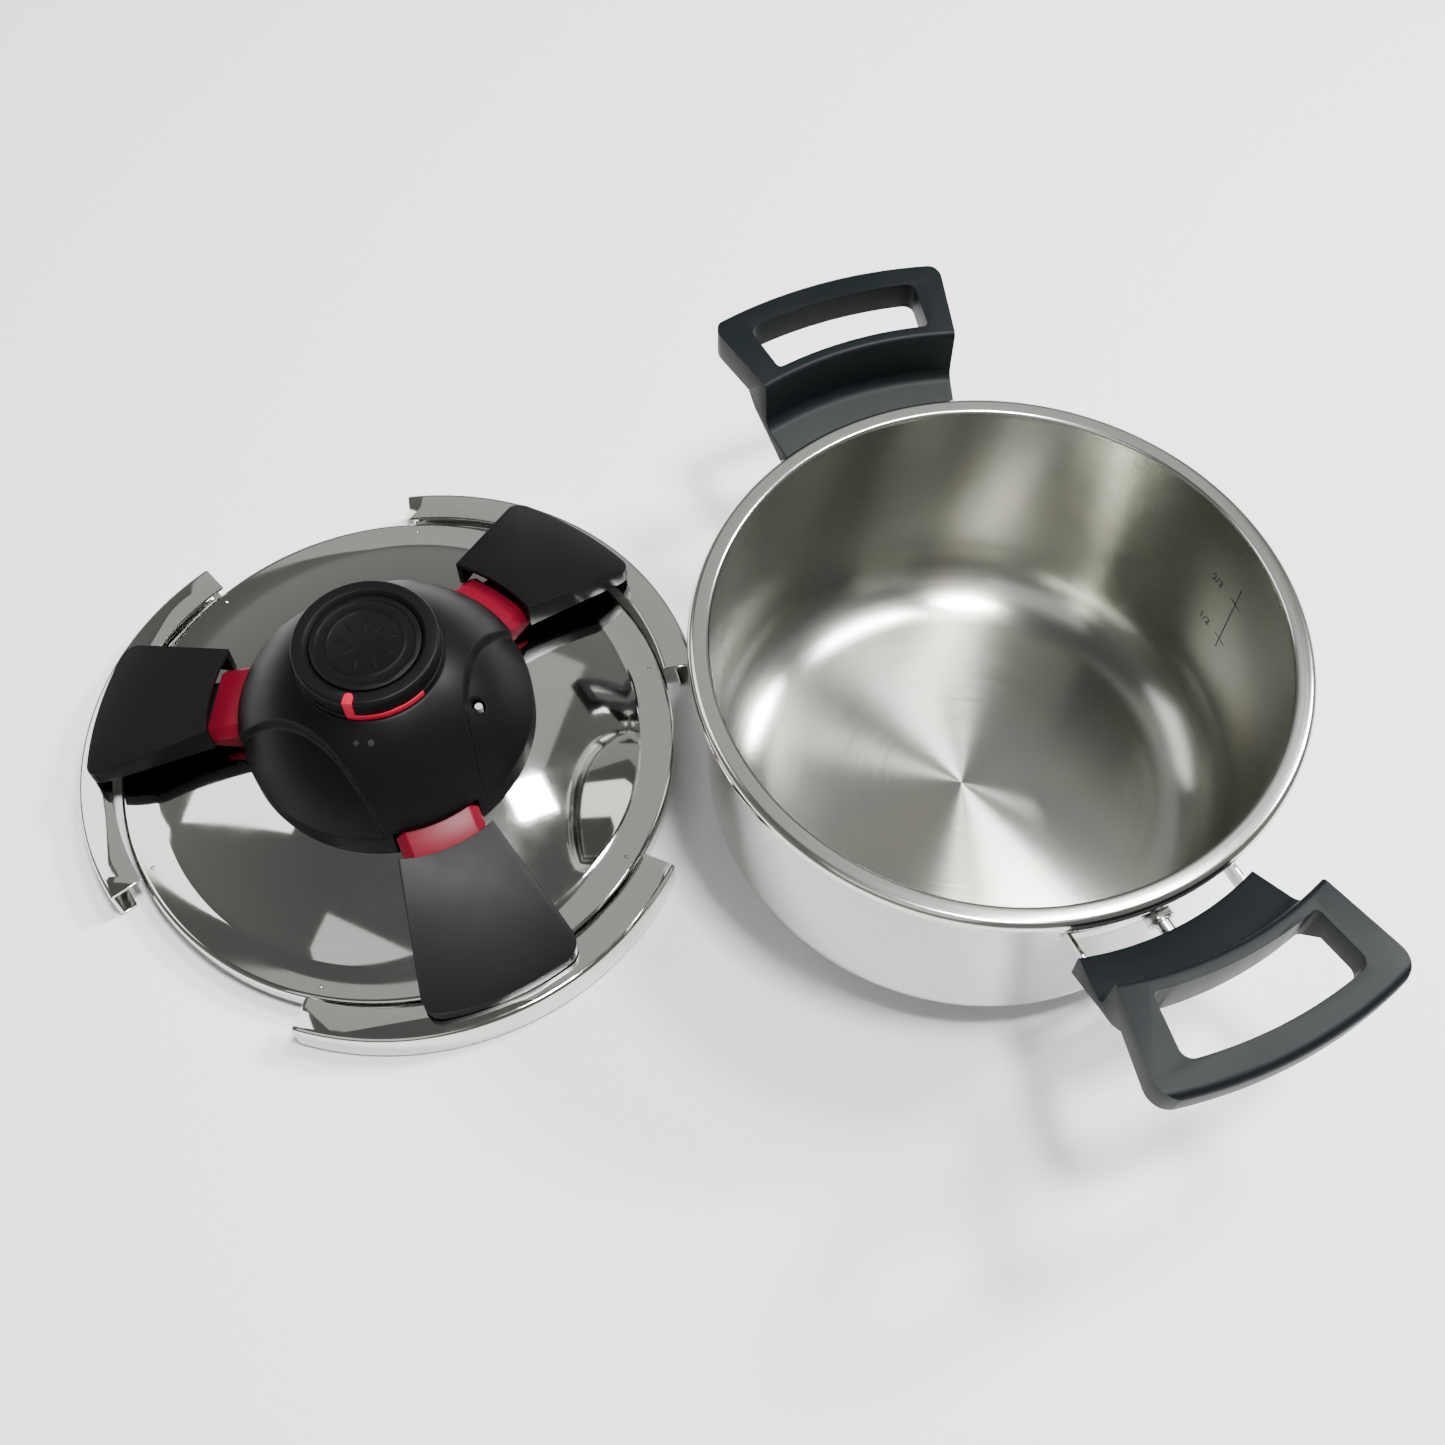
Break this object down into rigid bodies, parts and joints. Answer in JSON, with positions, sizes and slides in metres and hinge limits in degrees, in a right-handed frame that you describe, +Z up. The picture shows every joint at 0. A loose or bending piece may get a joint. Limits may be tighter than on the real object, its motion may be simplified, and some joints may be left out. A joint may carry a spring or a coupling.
{
  "type": "stovetop pressure cooker",
  "caption": "Stovetop pressure cooker: steel pot with side handles, and a domed lid laid beside it, locked by sliding jaws that a central knob draws in through a cam.",
  "frame": {"origin": "centre of the underside of the pot's base", "axes": "+Z up, along the pot's axis; +X from the pot's axis towards the near side handle"},
  "size_m": [0.4277, 0.4734, 0.133],
  "materials": {
    "pot_steel": "brushed inside, polished outside",
    "base_steel": "satin",
    "bracket_steel": "polished",
    "core_aluminium": "plain",
    "handle_plastic": "fine grain",
    "plated_steel": "zinc plated",
    "lid_steel": "mirror polished",
    "jaw_steel": "mirror polished",
    "carrier_coat": "satin black",
    "seal_rubber": "smooth",
    "inner_plastic": "plain",
    "hub_plastic": "fine grain",
    "cover_plastic": "fine grain",
    "knob_plastic": "fine grain",
    "cap_plastic": "semi-gloss",
    "red_plastic": "semi-gloss",
    "pointer_plastic": "semi-gloss"
  },
  "bodies": {
    "pot": {"pot_body": "pot_steel", "base_core": "core_aluminium", "base_cap": "base_steel", "handle_near": "handle_plastic", "handle_far": "handle_plastic", "bracket_near": "bracket_steel", "bracket_far": "bracket_steel", "bracket_nut_near": "plated_steel", "bracket_nut_far": "plated_steel", "handle_bolt_near": "plated_steel", "handle_bolt_far": "plated_steel"},
    "lid": {"lid_shell": "lid_steel", "gasket": "seal_rubber", "hub_base": "inner_plastic", "hub_cover": "hub_plastic", "spindle_bush": "core_aluminium", "guide_sleeve_a": "red_plastic", "guide_sleeve_b": "red_plastic", "guide_sleeve_c": "red_plastic", "indicator_seat": "seal_rubber", "indicator_nut": "plated_steel", "relief_seat": "plated_steel", "relief_nut": "plated_steel", "relief_cap": "plated_steel"},
    "knob": {"knob": "knob_plastic", "knob_cap": "cap_plastic", "pointer_ring": "pointer_plastic", "knob_screw": "plated_steel", "spindle": "plated_steel", "cam_disc": "plated_steel", "spindle_washer": "plated_steel", "spindle_nut": "plated_steel"},
    "jaw_a": {"jaw_a": "jaw_steel", "carrier_a": "carrier_coat", "jaw_cover_a": "cover_plastic", "cam_pin_a": "plated_steel", "cover_screw_a": "plated_steel", "rivet_a1": "plated_steel", "rivet_a2": "plated_steel"},
    "jaw_b": {"jaw_b": "jaw_steel", "carrier_b": "carrier_coat", "jaw_cover_b": "cover_plastic", "cam_pin_b": "plated_steel", "cover_screw_b": "plated_steel", "rivet_b1": "plated_steel", "rivet_b2": "plated_steel"},
    "jaw_c": {"jaw_c": "jaw_steel", "carrier_c": "carrier_coat", "jaw_cover_c": "cover_plastic", "cam_pin_c": "plated_steel", "cover_screw_c": "plated_steel", "rivet_c1": "plated_steel", "rivet_c2": "plated_steel"},
    "indicator": {"indicator_pin": "plated_steel"},
    "relief": {"relief_plunger": "plated_steel", "relief_spring": "plated_steel"}
  },
  "joints": [
    {"name": "lid_lift", "type": "slide", "parent": "pot", "child": "lid", "axis": [0, 0, 1], "range_m": [0, 0.25]},
    {"name": "knob_turn", "type": "hinge", "parent": "lid", "child": "knob", "pos_m": [-0.1156, -0.2181, 0.09], "axis": [0, 0, 1], "range_deg": [0, 60]},
    {"name": "jaw_a_slide", "type": "slide", "parent": "lid", "child": "jaw_a", "axis": [-0.9998, -0.0175, 0], "range_m": [0, 0.013]},
    {"name": "jaw_b_slide", "type": "slide", "parent": "lid", "child": "jaw_b", "axis": [0.515, -0.8572, 0], "range_m": [0, 0.013]},
    {"name": "jaw_c_slide", "type": "slide", "parent": "lid", "child": "jaw_c", "axis": [0.4848, 0.8746, 0], "range_m": [0, 0.013]},
    {"name": "indicator_rise", "type": "slide", "parent": "lid", "child": "indicator", "axis": [0, 0, 1], "range_m": [0, 0.0035]},
    {"name": "relief_lift", "type": "slide", "parent": "lid", "child": "relief", "axis": [0, 0, 1], "range_m": [0, 0.001], "stiffness_N_per_m": 1500, "springref_m": -0.001, "deforming": ["relief_spring"]}
  ],
  "couplings": [
    {"joint": "jaw_a_slide", "follows": "knob_turn", "m_per_rad": 0.012414},
    {"joint": "jaw_b_slide", "follows": "knob_turn", "m_per_rad": 0.012414},
    {"joint": "jaw_c_slide", "follows": "knob_turn", "m_per_rad": 0.012414}
  ]
}
